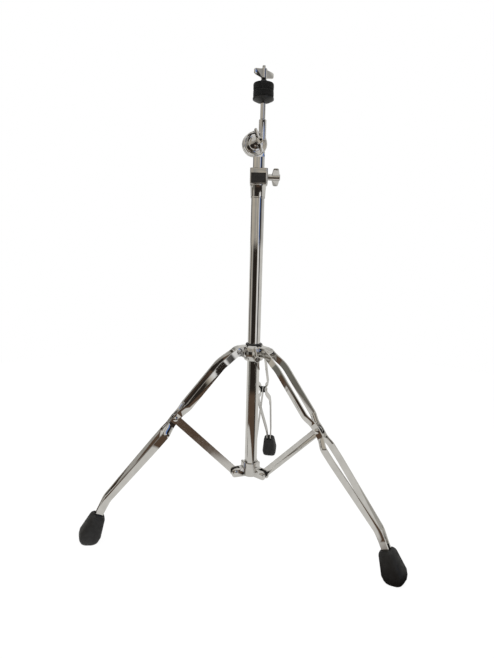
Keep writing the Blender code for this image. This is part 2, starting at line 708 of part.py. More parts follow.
def hand_screw(name, shank, hub_length=WING_HUB_LENGTH):
    """A wing bolt along Z: the shank below z = 0, the hub and wings above."""
    hub = WING_HUB_RADIUS
    profile = [
        (0.0, -shank), (HAND_SCREW_RADIUS - 0.0008, -shank), (HAND_SCREW_RADIUS, -shank + 0.0008),
        (HAND_SCREW_RADIUS, 0.0), (hub - 0.0008, 0.0), (hub, 0.0008), (hub, hub_length - 0.001),
        (hub - 0.001, hub_length), (0.0024, hub_length), (0.0024, hub_length - 0.002), (0.0, hub_length - 0.002),
    ]
    return combined(lathed(name, profile, SMALL_STEPS), wing_blades(hub_length), "UNION")


# Height clamp


def tube_joint(name):
    """The clamp casting on the base tube's top; heights from the base tube's upper end."""
    pad = JOINT_BLOCK_WIDTH / 2 + JOINT_BLOCK_PAD
    half = JOINT_BLOCK_WIDTH / 2
    bottom = -JOINT_SLEEVE_LENGTH
    profile = [
        (0.0, bottom), (JOINT_LIP_RADIUS - 0.0004, bottom), (JOINT_LIP_RADIUS, bottom + 0.0006),
        (JOINT_LIP_RADIUS, bottom + 0.0016), (JOINT_LIP_RADIUS - 0.0003, bottom + 0.0022),
        (JOINT_SLEEVE_RADIUS - 0.0012, bottom + 0.0034), (JOINT_SLEEVE_RADIUS, -0.0022),
        (JOINT_RING_RADIUS, -0.0014), (JOINT_RING_RADIUS, 0.0006), (JOINT_SLEEVE_RADIUS, 0.002), (0.0, 0.002),
    ]
    casting = lathed(name, profile)
    plan = rounded([(-half, -half, 0.003), (pad, -half, 0.003), (pad, half, 0.003), (-half, half, 0.003)])
    body = edged(extruded("body", plan, 0.001, JOINT_BLOCK_HEIGHT), 0.0007)
    combined(casting, body, "UNION")
    ceiling = JOINT_BLOCK_HEIGHT - JOINT_CAP_HEIGHT
    margin = JOINT_PANEL_MARGIN
    panel_low = (-half + margin, -half - 0.01, 0.003)
    panel = block("panel", panel_low, (half - margin, -half + JOINT_PANEL_DEPTH, ceiling))
    combined(casting, panel, "DIFFERENCE")
    boss = turned(rod("boss", WING_HUB_RADIUS + 0.001, half - 0.003, pad + 0.0012), ALONG_X)
    combined(casting, shifted(boss, z=JOINT_BLOCK_HEIGHT / 2), "UNION")
    combined(casting, rod("bore", JOINT_BORE, -0.1, 0.1, ROUND_STEPS), "DIFFERENCE")
    hole = turned(rod("hole", HAND_SCREW_RADIUS + GAP, JOINT_BORE - 0.001, 0.1), ALONG_X)
    return combined(casting, shifted(hole, z=JOINT_BLOCK_HEIGHT / 2), "DIFFERENCE")


# Tilter, in its own frame: the disc's axis is Y, the viewer's side is -Y


def tilter_lower_body(name):
    """Spigot, neck and rear disc, one casting in the top of the upper tube."""
    base = -TILTER_HEIGHT_ABOVE_TUBE + GAP
    spigot_radius = UPPER_TUBE_RADIUS - UPPER_TUBE_WALL - GAP
    neck_top = HOLDER_START - 0.001
    profile = [
        (0.0, base - SPIGOT_LENGTH), (spigot_radius - 0.001, base - SPIGOT_LENGTH),
        (spigot_radius, base - SPIGOT_LENGTH + 0.001), (spigot_radius, base), (UPPER_TUBE_RADIUS, base),
        (UPPER_TUBE_RADIUS, neck_top - 0.002), (UPPER_TUBE_RADIUS - 0.002, neck_top), (0.0, neck_top),
    ]
    body = shifted(lathed(name, profile), x=TILTER_OFFSET)
    front = block("front", (-0.1, -0.1, -DISC_RADIUS - 2 * GAP), (0.1, GAP - JOINT_PLANE_DEPTH, 0.1))
    combined(body, front, "DIFFERENCE")
    behind_disc = LOWER_DISC_THICKNESS - JOINT_PLANE_DEPTH - GAP
    head_room = turned(rod("head_room", BOLT_HEAD_RADIUS + 4 * GAP, behind_disc, 0.1), ALONG_Y)
    combined(body, head_room, "DIFFERENCE")
    disc = rod("disc", DISC_RADIUS, JOINT_PLANE_DEPTH - LOWER_DISC_THICKNESS, JOINT_PLANE_DEPTH, ROUND_STEPS)
    combined(body, turned(edged(disc, 0.001, 2), TOWARD_FRONT), "UNION")
    return combined(body, cross_hole(HAND_SCREW_RADIUS + GAP, 0.05), "DIFFERENCE")


def tilter_upper_body(name):
    """Front disc with a dished face, carrying the rod holder beside it."""
    back = JOINT_PLANE_DEPTH + FRICTION_DISC_THICKNESS + 2 * GAP
    front = back + UPPER_DISC_THICKNESS
    profile = [
        (0.0, back), (DISC_RADIUS - 0.0008, back), (DISC_RADIUS, back + 0.0008), (DISC_RADIUS, front - 0.0012),
        (DISC_RADIUS - 0.0012, front), (DISC_RADIUS - DISH_RIM, front),
        (DISC_RADIUS - DISH_RIM - 0.0012, front - DISH_DEPTH * 0.7),
        (WING_HUB_RADIUS + 0.003, front - DISH_DEPTH), (WING_HUB_RADIUS + 0.0018, front), (0.0, front),
    ]
    disc = turned(lathed(name, profile), TOWARD_FRONT)
    axis_x = TILTER_OFFSET + ROD_OFFSET
    top = HOLDER_RISE
    holder_profile = [
        (0.0, HOLDER_START), (HOLDER_RADIUS, HOLDER_START), (HOLDER_RADIUS, top - 0.0012),
        (HOLDER_RADIUS - 0.0012, top), (0.0, top),
    ]
    holder = shifted(lathed("holder", holder_profile, SMALL_STEPS), x=axis_x, y=ROD_DEPTH)
    flat_top = DISC_RADIUS + HOLDER_RADIUS / 2
    relief = block("relief", (-0.1, -back - GAP, -0.1), (0.1, 0.1, flat_top))
    combined(holder, relief, "DIFFERENCE")
    combined(disc, holder, "UNION")
    socket = rod("socket", ROD_RADIUS + GAP, top - ROD_IN_HOLDER - GAP, top + 0.01)
    combined(disc, shifted(socket, x=axis_x, y=ROD_DEPTH), "DIFFERENCE")
    screw_way = turned(rod("screw", 0.0018 + GAP, 0.0, 0.02, 12), TOWARD_FRONT)
    combined(disc, shifted(screw_way, x=axis_x, y=ROD_DEPTH, z=top - 0.004), "DIFFERENCE")
    return combined(disc, cross_hole(HAND_SCREW_RADIUS + GAP, 0.05), "DIFFERENCE")


def tilter_bolt(name):
    """Hexagon-headed bolt through both discs."""
    rear = JOINT_PLANE_DEPTH - LOWER_DISC_THICKNESS - GAP
    front = JOINT_PLANE_DEPTH + FRICTION_DISC_THICKNESS + 2 * GAP + UPPER_DISC_THICKNESS + TILTER_SCREW_REACH
    shank = rod(name, HAND_SCREW_RADIUS, rear - 0.001, front)
    head = rod("head", BOLT_HEAD_RADIUS, rear - BOLT_HEAD_HEIGHT, rear, 6)
    return turned(combined(shank, head, "UNION"), TOWARD_FRONT)


def tilter_handle(name):
    """Wing nut of the tilter, its bore open at the outer end."""
    start = JOINT_PLANE_DEPTH + FRICTION_DISC_THICKNESS + 3 * GAP + UPPER_DISC_THICKNESS
    hub = WING_HUB_RADIUS
    length = TILTER_HANDLE_HUB
    bore = HAND_SCREW_RADIUS + GAP
    profile = [
        (bore, 0.0), (hub, 0.0), (hub, length - 0.0008), (hub - 0.0008, length), (bore, length),
    ]
    nut = lathed(name, profile, SMALL_STEPS, ring=True)
    wings = wing_blades(length)
    combined(wings, rod("bore", bore, -0.01, 0.1), "DIFFERENCE")
    combined(nut, wings, "UNION")
    turned(nut, Matrix.Rotation(math.radians(90.0), 4, "Z"))
    turned(nut, TOWARD_FRONT)
    turned(nut, Matrix.Rotation(TILTER_HANDLE_LEAN, 4, "Y"))
    return shifted(nut, y=-start)


# Cymbal rod and seat


def cymbal_rod(name):
    """Stepped rod: plain below the seat, threaded size above; heights from the tilter's axis."""
    low = HOLDER_RISE - ROD_IN_HOLDER
    step = SEAT_BOTTOM - TILTER_HEIGHT - GAP
    tip = ROD_TIP - TILTER_HEIGHT
    thread = ROD_THREAD_RADIUS
    profile = [
        (0.0, low), (ROD_RADIUS, low), (ROD_RADIUS, step), (thread, step), (thread, tip - 0.001),
        (thread - 0.0008, tip), (0.0, tip),
    ]
    return lathed(name, profile, SMALL_STEPS)


def cymbal_seat(name):
    """Flared cup that carries the lower felt; heights from its underside."""
    bore = ROD_THREAD_RADIUS + GAP
    profile = [
        (bore, 0.0), (0.0085, 0.0), (0.0125, 0.0012), (SEAT_RADIUS - 0.001, 0.0042), (SEAT_RADIUS, 0.0052),
        (SEAT_RADIUS, SEAT_HEIGHT - 0.0005), (SEAT_RADIUS - 0.0005, SEAT_HEIGHT), (bore, SEAT_HEIGHT),
    ]
    return lathed(name, profile, ring=True)


def felt(name, height, low_round, high_round):
    """A felt washer with worn round edges; heights from its underside."""
    bore = SLEEVE_RADIUS + GAP
    full = FELT_RADIUS
    profile = [
        (bore, 0.0), (full - low_round, 0.0), (full, low_round), (full, height - high_round),
        (full - high_round * 0.3, height - high_round * 0.3), (full - high_round, height), (bore, height),
    ]
    return lathed(name, profile, ring=True)


def rod_sleeve(name):
    """Plastic sleeve that keeps the cymbal off the thread."""
    height = UPPER_FELT_TOP + SLEEVE_ABOVE_FELT - LOWER_FELT_BOTTOM
    return tube(name, SLEEVE_RADIUS, ROD_THREAD_RADIUS + GAP, 0.0, height, SMALL_STEPS)


def wing_nut(name):
    """Top wing nut; heights from the tip of its cone."""
    hub = WING_HUB_RADIUS
    bore = ROD_THREAD_RADIUS + GAP
    top = NUT_TOP - NUT_BOTTOM
    profile = [
        (bore, 0.0), (NUT_CONE_RADIUS, 0.0), (hub, NUT_CONE_HEIGHT), (hub, top - 0.0008),
        (hub - 0.0008, top), (bore, top),
    ]
    nut = lathed(name, profile, SMALL_STEPS, ring=True)
    wings = wing_blades(top)
    combined(wings, rod("bore", bore, -0.01, 0.1), "DIFFERENCE")
    return combined(nut, wings, "UNION")


def build_leg(stand, key, azimuth, chrome, black):
    frame = frame_at(f"leg_frame_{key}", stand, (0.0, 0.0, 0.0), azimuth)
    collar_pivot = (PIVOT_RADIUS, 0.0, COLLAR_PIVOT_HEIGHT)
    bracket_pivot = (PIVOT_RADIUS, 0.0, BRACKET_PIVOT_HEIGHT)
    pinch = (PINCH_RADIUS, 0.0, PINCH_HEIGHT)
    placed(leg_strip(f"leg_strip_{key}_a", 1), frame, collar_pivot, chrome)
    placed(leg_strip(f"leg_strip_{key}_b", -1), frame, collar_pivot, chrome)
    placed(rubber_foot(f"foot_{key}"), frame, collar_pivot, black)
    placed(strut_bar(f"strut_{key}"), frame, bracket_pivot, chrome)
    placed(grommet(f"bracket_grommet_{key}"), frame, bracket_pivot, black)
    placed(grommet(f"pinch_grommet_{key}"), frame, pinch, black)
    placed(headed_pin(f"bracket_pin_{key}", BRACKET_HALF_WIDTH), frame, bracket_pivot, chrome)
    placed(headed_pin(f"pinch_pin_{key}", PINCH_HALF_GAP + STRIP_THICKNESS), frame, pinch, chrome)
    grip = COLLAR_HALF_GAP + STRIP_THICKNESS
    placed(headed_pin(f"collar_pin_{key}", grip, socket=0.0016), frame, collar_pivot, chrome)


def build_tubes(stand, chrome, black, upper):
    placed(tube("base_tube", BASE_TUBE_RADIUS, BASE_TUBE_RADIUS - BASE_TUBE_WALL, 0.0, BASE_TUBE_LENGTH),
           stand, (0.0, 0.0, TUBE_BOTTOM), chrome)
    stem = BASE_TUBE_RADIUS - BASE_TUBE_WALL - GAP
    plug_profile = [
        (0.0, 0.0), (BASE_TUBE_RADIUS - 0.0006, 0.0), (BASE_TUBE_RADIUS, 0.0006), (BASE_TUBE_RADIUS, PLUG_FLANGE),
        (stem, PLUG_FLANGE), (stem, PLUG_DEPTH), (0.0, PLUG_DEPTH),
    ]
    placed(lathed("tube_end_plug", plug_profile), stand, (0.0, 0.0, BRACKET_BOTTOM), black)
    placed(lower_bracket("lower_bracket"), stand, (0.0, 0.0, BRACKET_BOTTOM), chrome)
    bottom = UPPER_TUBE_TOP - UPPER_TUBE_LENGTH
    inner = UPPER_TUBE_RADIUS - UPPER_TUBE_WALL
    placed(tube("upper_tube", UPPER_TUBE_RADIUS, inner, 0.0, UPPER_TUBE_LENGTH), upper, (0.0, 0.0, bottom), chrome)
    guide_radius = BASE_TUBE_RADIUS - BASE_TUBE_WALL - GAP
    guide_stem = inner - GAP
    guide_profile = [
        (0.0, -0.012), (guide_radius - 0.001, -0.012), (guide_radius, -0.011), (guide_radius, -GAP),
        (guide_stem, -GAP), (guide_stem, 0.012), (0.0, 0.012),
    ]
    placed(lathed("guide_plug", guide_profile), upper, (0.0, 0.0, bottom), black)


def build_collar(stand, chrome, black):
    here = (0.0, 0.0, COLLAR_PIVOT_HEIGHT)
    placed(leg_collar("leg_collar"), stand, here, chrome)
    placed(collar_bushing("collar_bushing"), stand, here, black)
    outer = BASE_TUBE_RADIUS + TUBE_SLIDE_CLEARANCE + COLLAR_BUSHING_WALL + GAP + COLLAR_WALL
    start = outer + 0.004 + GAP
    shank = start - BASE_TUBE_RADIUS - GAP
    turn = Matrix.Rotation(math.radians(90.0), 4, "Y") @ Matrix.Rotation(COLLAR_BOLT_LEAN, 4, "Z")
    bolt_frame = frame_at("collar_bolt_frame", stand, (0.0, 0.0, 0.0), COLLAR_BOLT_AZIMUTH)
    placed(hand_screw("collar_wing_bolt", shank), bolt_frame,
           (start, 0.0, COLLAR_PIVOT_HEIGHT - COLLAR_BOLT_DROP), chrome, turn)


def build_clamp(stand, chrome, black):
    frame = frame_at("clamp_frame", stand, (0.0, 0.0, 0.0), JOINT_TURN)
    placed(tube_joint("tube_joint"), frame, (0.0, 0.0, TUBE_TOP), chrome)
    bushing = tube("joint_bushing", BASE_TUBE_RADIUS, UPPER_TUBE_RADIUS + GAP, GAP, JOINT_BLOCK_HEIGHT - 0.0005)
    placed(bushing, frame, (0.0, 0.0, TUBE_TOP), black)
    start = JOINT_BLOCK_WIDTH / 2 + JOINT_BLOCK_PAD + 0.0012 + GAP
    shank = start - BASE_TUBE_RADIUS - GAP
    turn = Matrix.Rotation(math.radians(90.0), 4, "Y") @ Matrix.Rotation(CLAMP_BOLT_ROLL, 4, "Z")
    placed(hand_screw("clamp_wing_bolt", shank), frame, (start, 0.0, TUBE_TOP + JOINT_BLOCK_HEIGHT / 2), chrome, turn)


def build_tilter(upper, chrome, black):
    """Returns the frame of the tilting half."""
    frame = frame_at("tilter_frame", upper, (0.0, 0.0, 0.0), TILTER_TURN)
    axis = (-TILTER_OFFSET, 0.0, TILTER_HEIGHT)
    placed(tilter_lower_body("tilter_lower_body"), frame, axis, chrome)
    tilting = frame_at("tilting_frame", frame, axis)
    here = (0.0, 0.0, 0.0)
    placed(tilter_upper_body("tilter_upper_body"), tilting, here, chrome)
    start = JOINT_PLANE_DEPTH + GAP
    disc = tube("friction_disc", FRICTION_DISC_RADIUS, HAND_SCREW_RADIUS + GAP, start, start + FRICTION_DISC_THICKNESS)
    placed(turned(disc, TOWARD_FRONT), tilting, here, black)
    placed(tilter_bolt("tilter_bolt"), frame, axis, chrome)
    placed(tilter_handle("tilter_wing_nut"), tilting, here, chrome)
    return tilting


def build_rod(tilting, chrome, black, felt_black):
    x = TILTER_OFFSET + ROD_OFFSET
    here = (x, ROD_DEPTH, 0.0)

    def at(height):
        return (x, ROD_DEPTH, height - TILTER_HEIGHT)

    placed(cymbal_rod("cymbal_rod"), tilting, here, chrome)
    length = HOLDER_RADIUS - ROD_RADIUS - GAP
    screw = lathed("rod_set_screw", [
        (0.0, 0.0), (0.0018, 0.0), (0.0018, length - 0.0004), (0.0009, length - 0.0004),
        (0.0009, length * 0.4), (0.0, length * 0.4),
    ], 12)
    placed(turned(screw, TOWARD_FRONT), tilting, (x, ROD_DEPTH - ROD_RADIUS - GAP, HOLDER_RISE - 0.004), black)
    placed(cymbal_seat("cymbal_seat"), tilting, at(SEAT_BOTTOM), black)
    placed(felt("lower_felt", LOWER_FELT_HEIGHT, 0.0008, 0.0010), tilting, at(LOWER_FELT_BOTTOM), felt_black)
    placed(felt("upper_felt", UPPER_FELT_HEIGHT, 0.0010, 0.0030), tilting, at(UPPER_FELT_BOTTOM), felt_black)
    placed(rod_sleeve("rod_sleeve"), tilting, at(LOWER_FELT_BOTTOM), black)
    turn = Matrix.Rotation(math.radians(NUT_AZIMUTH - TILTER_TURN), 4, "Z")
    placed(wing_nut("wing_nut"), tilting, at(NUT_BOTTOM), chrome, turn)


def footprint_middle():
    """Middle of the front-to-back extent of the feet."""
    bpy.context.view_layer.update()
    ys = []
    for thing in bpy.data.objects:
        if thing.name.startswith("foot_"):
            ys += [(thing.matrix_world @ vertex.co).y for vertex in thing.data.vertices]
    return (min(ys) + max(ys)) / 2


def main():
    clear_scene()
    chrome = finish_of("chrome", (0.62, 0.61, 0.59), 0.10, 1.0)
    black = finish_of("black_plastic", (0.018, 0.018, 0.018), 0.45, 0.0)
    rubber = finish_of("black_rubber", (0.014, 0.014, 0.014), 0.60, 0.0)
    felt_black = finish_of("black_felt", (0.012, 0.011, 0.011), 0.95, 0.0)
    stand = frame_at("stand", None, (0.0, 0.0, 0.0))
    build_tubes(stand, chrome, black, stand)
    build_collar(stand, chrome, black)
    for key, azimuth in LEG_AZIMUTHS.items():
        build_leg(stand, key, azimuth, chrome, rubber)
    build_clamp(stand, chrome, black)
    tilting = build_tilter(stand, chrome, black)
    build_rod(tilting, chrome, black, felt_black)
    stand.location.y = -footprint_middle()


main()
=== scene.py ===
"""Looks of the folding cymbal stand: chrome, rubber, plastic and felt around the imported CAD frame.

Metres, +Z up, in the frame's own coordinates.
"""

import json
import math
import random

import bmesh
import bpy
from mathutils import Matrix, Vector

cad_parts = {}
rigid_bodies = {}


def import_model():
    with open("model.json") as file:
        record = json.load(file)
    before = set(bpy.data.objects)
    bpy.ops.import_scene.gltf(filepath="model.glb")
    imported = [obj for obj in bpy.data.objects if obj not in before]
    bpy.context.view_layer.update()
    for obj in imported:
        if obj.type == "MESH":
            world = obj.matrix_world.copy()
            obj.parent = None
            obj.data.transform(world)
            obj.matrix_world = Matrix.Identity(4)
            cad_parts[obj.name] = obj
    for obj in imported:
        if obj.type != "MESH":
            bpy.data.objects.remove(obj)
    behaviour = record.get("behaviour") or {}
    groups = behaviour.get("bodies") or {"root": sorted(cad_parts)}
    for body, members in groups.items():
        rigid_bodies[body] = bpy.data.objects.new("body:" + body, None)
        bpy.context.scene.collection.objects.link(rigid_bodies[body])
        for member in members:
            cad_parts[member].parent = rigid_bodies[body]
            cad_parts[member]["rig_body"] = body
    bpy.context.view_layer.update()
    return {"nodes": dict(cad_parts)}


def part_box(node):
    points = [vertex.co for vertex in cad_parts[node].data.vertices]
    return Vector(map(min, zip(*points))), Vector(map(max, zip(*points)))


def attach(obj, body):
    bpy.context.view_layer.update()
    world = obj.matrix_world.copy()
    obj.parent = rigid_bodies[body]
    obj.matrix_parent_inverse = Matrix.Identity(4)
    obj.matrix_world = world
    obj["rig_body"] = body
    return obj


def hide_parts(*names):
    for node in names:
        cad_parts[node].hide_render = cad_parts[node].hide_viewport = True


# Photograph's camera, from the tube's axis and its lower end
IMAGE_HEIGHT = 659
FOCAL_PIXELS = 505.5
CAMERA_RIGHT = 0.1564
CAMERA_BACK = 0.9891
CAMERA_RISE = 0.4751
CAMERA_AZIMUTH = math.radians(99.82)
CAMERA_PITCH = math.radians(9.596)
CAMERA_ROLL = math.radians(1.42)
SENSOR = 36.0
VIEW_DEPTH = 100.0

# Clean-up of the hard pieces: flat bars get a narrow chamfer, round faces are shaded smooth
WELD = 0.00001
FLAT_WITHIN = math.radians(0.5)
STRIP_EDGE = 0.00045
SMOOTH_ANGLE = math.radians(38.0)

# Recessed panel of the clamp, from the base tube's axis and its upper end
PANEL_TURN = math.radians(9.0)
PANEL_OUT = 0.0145
PANEL_TOLERANCE = 0.0004
PANEL_FACING = 0.99

# The range in which most of a noise's values lie
NOISE_LOW = 0.35
NOISE_HIGH = 0.65

# Felt: how far its worn edges round off, and its loose fibres
FELT_SEGMENTS = 96
FELT_ROUGHNESS = 0.00016
FELT_BORE = 0.0058
FELT_FACE_SHARE = 0.7
FELT_BULGE = 0.0002
FELT_ARC_STEPS = 5
LOWER_FELT_ROUNDS = (0.0010, 0.0014)
UPPER_FELT_ROUNDS = (0.0012, 0.0032)
LOWER_FELT_SEED = 11
UPPER_FELT_SEED = 12
FIBRE_COUNT = 900
FIBRE_LENGTH = 0.0016
FIBRE_RADIUS = 0.00005
FIBRE_ROOT = 0.0001

# Cymbal rod: a thick lower part, a step under the seat and a thread above it
ROD_CHAMFER = 0.0004
STEP_GAP = 0.0003
THREAD_RADIUS = 0.0032
THREAD_PITCH = 0.00125
THREAD_DEPTH = 0.0004
THREAD_STEPS = 24
THREAD_RINGS_PER_TURN = 6
THREAD_RUNOUT = 0.0008

# Light, and the room that the chrome mirrors. A room's list gives degrees to the right of the camera's side, and
# the colour there
FLOOR_RADIUS = 1.7
FLOOR_SEGMENTS = 96
SHEET_CENTRE = (-0.16, -0.12, 0.0)
SHEET_RADIUS = 0.36
SHEET_BLUR = 0.02
BOARDS_END = 0.92
BOARDS_BLUR = 0.04
WORLD_STRENGTH = 0.55
WHITE_FLOOR_GLOW = 1.04
WHITE_FLOOR_SHARE = 0.90
CEILING_FROM = 0.50
CEILING_TO = 0.62
HORIZON = 0.01
CAMERA_SIDE = -81.0
LAMP_TARGET_HEIGHT = 0.45
LAMPS = [
    ("key", (-1.6, -1.9, 1.9), 1.6, 34.0), ("fill", (2.0, -1.4, 1.2), 1.8, 18.0),
    ("top", (0.2, 0.6, 2.6), 2.0, 22.0),
]
BEIGE = (0.60, 0.55, 0.47)
GREY = (0.42, 0.41, 0.39)
PALE = (0.80, 0.79, 0.76)
BRIGHT = (1.0, 1.0, 1.0)
BLUE = (0.16, 0.34, 0.85)
BROWN = (0.125, 0.082, 0.056)
OLIVE = (0.20, 0.195, 0.17)
DARK = (0.030, 0.024, 0.020)
HIGH_ROOM = [
    (-180, PALE), (-150, GREY), (-120, DARK), (-112, GREY), (-100, BEIGE), (-60, BEIGE), (-30, GREY),
    (-14, BEIGE), (7, BEIGE), (9, DARK), (13, DARK), (15, BEIGE), (22, BRIGHT), (26, BRIGHT), (28, BEIGE),
    (35, BEIGE), (37, BLUE), (45, BLUE), (47, DARK), (70, DARK), (76, GREY), (120, PALE), (150, GREY),
]
LOW_ROOM = [
    (-180, GREY), (-160, PALE), (-118, PALE), (-114, DARK), (-96, DARK), (-90, BEIGE), (-62, GREY), (-54, DARK),
    (16, DARK), (21, BEIGE), (26, BRIGHT), (46, BRIGHT), (53, DARK), (66, DARK), (72, PALE), (140, PALE),
]
BOARDS = [
    (-180, GREY), (-150, PALE), (-92, PALE), (-84, GREY), (-78, BROWN), (40, BROWN), (50, DARK), (62, DARK),
    (72, PALE), (140, PALE),
]
FAR_FLOOR = [
    (-180, GREY), (-150, PALE), (-95, PALE), (-85, OLIVE), (-56, OLIVE), (-50, DARK), (62, DARK), (72, PALE),
    (140, PALE),
]


def nodes_of(material):
    material.use_nodes = True
    tree = material.node_tree
    return tree, tree.nodes["Principled BSDF"]


def add(tree, kind, **values):
    """A new shader node with its sockets and properties set by name."""
    node = tree.nodes.new(kind)
    for key, value in values.items():
        if key in node.inputs:
            node.inputs[key].default_value = value
        else:
            setattr(node, key, value)
    return node


def object_noise(tree, scale, detail=3.0, stretch=(1.0, 1.0, 1.0)):
    """Noise fixed to the object's own coordinates."""
    place = add(tree, "ShaderNodeTexCoord")
    mapping = add(tree, "ShaderNodeMapping")
    mapping.inputs["Scale"].default_value = stretch
    noise = add(tree, "ShaderNodeTexNoise", Scale=scale, Detail=detail)
    tree.links.new(place.outputs["Object"], mapping.inputs["Vector"])
    tree.links.new(mapping.outputs["Vector"], noise.inputs["Vector"])
    return noise


def ranged(tree, source, low, high):
    """The noise's middle range stretched to low..high."""
    span = add(tree, "ShaderNodeMapRange")
    for key, value in (("From Min", NOISE_LOW), ("From Max", NOISE_HIGH), ("To Min", low), ("To Max", high)):
        span.inputs[key].default_value = value
    tree.links.new(source.outputs["Fac"], span.inputs["Value"])
    return span.outputs["Result"]


def bumped(tree, shader, source, distance, strength):
    bump = add(tree, "ShaderNodeBump", Strength=strength, Distance=distance)
    tree.links.new(source.outputs["Fac"], bump.inputs["Height"])
    tree.links.new(bump.outputs["Normal"], shader.inputs["Normal"])


def coloured(tree, shader, source, dark, light):
    """Base colour between two shades, by the noise."""
    ramp = add(tree, "ShaderNodeValToRGB")
    ramp.color_ramp.elements[0].position = NOISE_LOW
    ramp.color_ramp.elements[0].color = (*dark, 1.0)
    ramp.color_ramp.elements[1].position = NOISE_HIGH
    ramp.color_ramp.elements[1].color = (*light, 1.0)
    tree.links.new(source.outputs["Fac"], ramp.inputs["Fac"])
    tree.links.new(ramp.outputs["Color"], shader.inputs["Base Color"])


def chrome_material(name, dark, light, smooth, worn):
    """Plated steel: fine haze in the gloss, faint polish waves."""
    material = bpy.data.materials.new(name)
    tree, shader = nodes_of(material)
    shader.inputs["Metallic"].default_value = 1.0
    haze = object_noise(tree, 60.0)
    coloured(tree, shader, haze, dark, light)
    tree.links.new(ranged(tree, haze, smooth, worn), shader.inputs["Roughness"])
    bumped(tree, shader, object_noise(tree, 220.0, 2.0), 0.0002, 0.05)
    return material


def plastic_material(name, dark, light, roughness, grain):
    """Moulded plastic or rubber with a fine grain."""
    material = bpy.data.materials.new(name)
    tree, shader = nodes_of(material)
    coloured(tree, shader, object_noise(tree, 90.0), dark, light)
    scuffs = object_noise(tree, 140.0)
    tree.links.new(ranged(tree, scuffs, roughness - 0.08, roughness + 0.08), shader.inputs["Roughness"])
    bumped(tree, shader, object_noise(tree, grain, 4.0), 0.0002, 0.25)
    return material


def felt_material():
    """Pressed wool: matt, mottled, with a soft sheen at grazing angles."""
    material = bpy.data.materials.new("black_felt_cloth")
    tree, shader = nodes_of(material)
    shader.inputs["Roughness"].default_value = 0.95
    shader.inputs["Sheen Weight"].default_value = 0.10
    shader.inputs["Sheen Roughness"].default_value = 0.5
    shader.inputs["Specular IOR Level"].default_value = 0.15
    coloured(tree, shader, object_noise(tree, 900.0, 5.0), (0.003, 0.003, 0.003), (0.011, 0.0105, 0.010))
    bumped(tree, shader, object_noise(tree, 1400.0, 5.0), 0.0004, 0.8)
    return material


def linked(name, mesh, material, body, slot, *replaced):
    """An object riding on a body, standing for CAD nodes."""
    thing = bpy.data.objects.new(name, mesh)
    bpy.context.scene.collection.objects.link(thing)
    mesh.materials.clear()
    mesh.materials.append(material)
    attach(thing, body)
    if replaced:
        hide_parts(*replaced)
    return thing


def dressed(frame, node, material, slot, edge=0.0):
    """A CAD node's form with its seams welded, its round faces smooth and, for an edge, a narrow chamfer."""
    source = frame["nodes"][node]
    mesh = source.data.copy()
    mesh.name = f"{node}_finish"
    bm = bmesh.new()
    bm.from_mesh(mesh)
    bmesh.ops.remove_doubles(bm, verts=bm.verts, dist=WELD)
    bmesh.ops.dissolve_limit(bm, angle_limit=FLAT_WITHIN, verts=bm.verts, edges=bm.edges)
    if edge:
        corners = [line for line in bm.edges if line.calc_face_angle(0.0) > SMOOTH_ANGLE]
        bmesh.ops.bevel(bm, geom=corners, offset=edge, segments=1, affect="EDGES", clamp_overlap=True)
    bm.to_mesh(mesh)
    bm.free()
    mesh.shade_smooth()
    mesh.set_sharp_from_angle(angle=SMOOTH_ANGLE)
    return linked(f"{node}_finish", mesh, material, source["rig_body"], slot, node)


def colour_recess_floor(clamp, tube_y, material):
    """Gives the floor of the clamp's recess a black material of its own, darker than the chrome around it."""
    facing = Vector((math.sin(PANEL_TURN), -math.cos(PANEL_TURN), 0.0))
    axis = Vector((0.0, tube_y, 0.0))
    clamp.data.materials.append(material)
    for face in clamp.data.polygons:
        out = (face.center - axis).dot(facing)
        if face.normal.dot(facing) > PANEL_FACING and abs(out - PANEL_OUT) < PANEL_TOLERANCE:
            face.material_index = 1


def felt_profile(bore, radius, low, high, round_low, round_high):
    """Cross section of a felt washer: worn round edges and slightly bulging sides."""
    points = [(bore, low), (radius * FELT_FACE_SHARE, low)]
    for k in range(FELT_ARC_STEPS + 1):
        turn = math.pi / 2 * k / FELT_ARC_STEPS
        points.append((radius - round_low * (1 - math.sin(turn)), low + round_low * (1 - math.cos(turn))))
    middle = (low + high) / 2
    points.append((radius + FELT_BULGE, middle))
    for k in range(FELT_ARC_STEPS + 1):
        turn = math.pi / 2 * k / FELT_ARC_STEPS
        points.append((radius - round_high * (1 - math.cos(turn)), high - round_high * (1 - math.sin(turn))))
    points += [(radius * FELT_FACE_SHARE, high), (bore, high)]
    return points


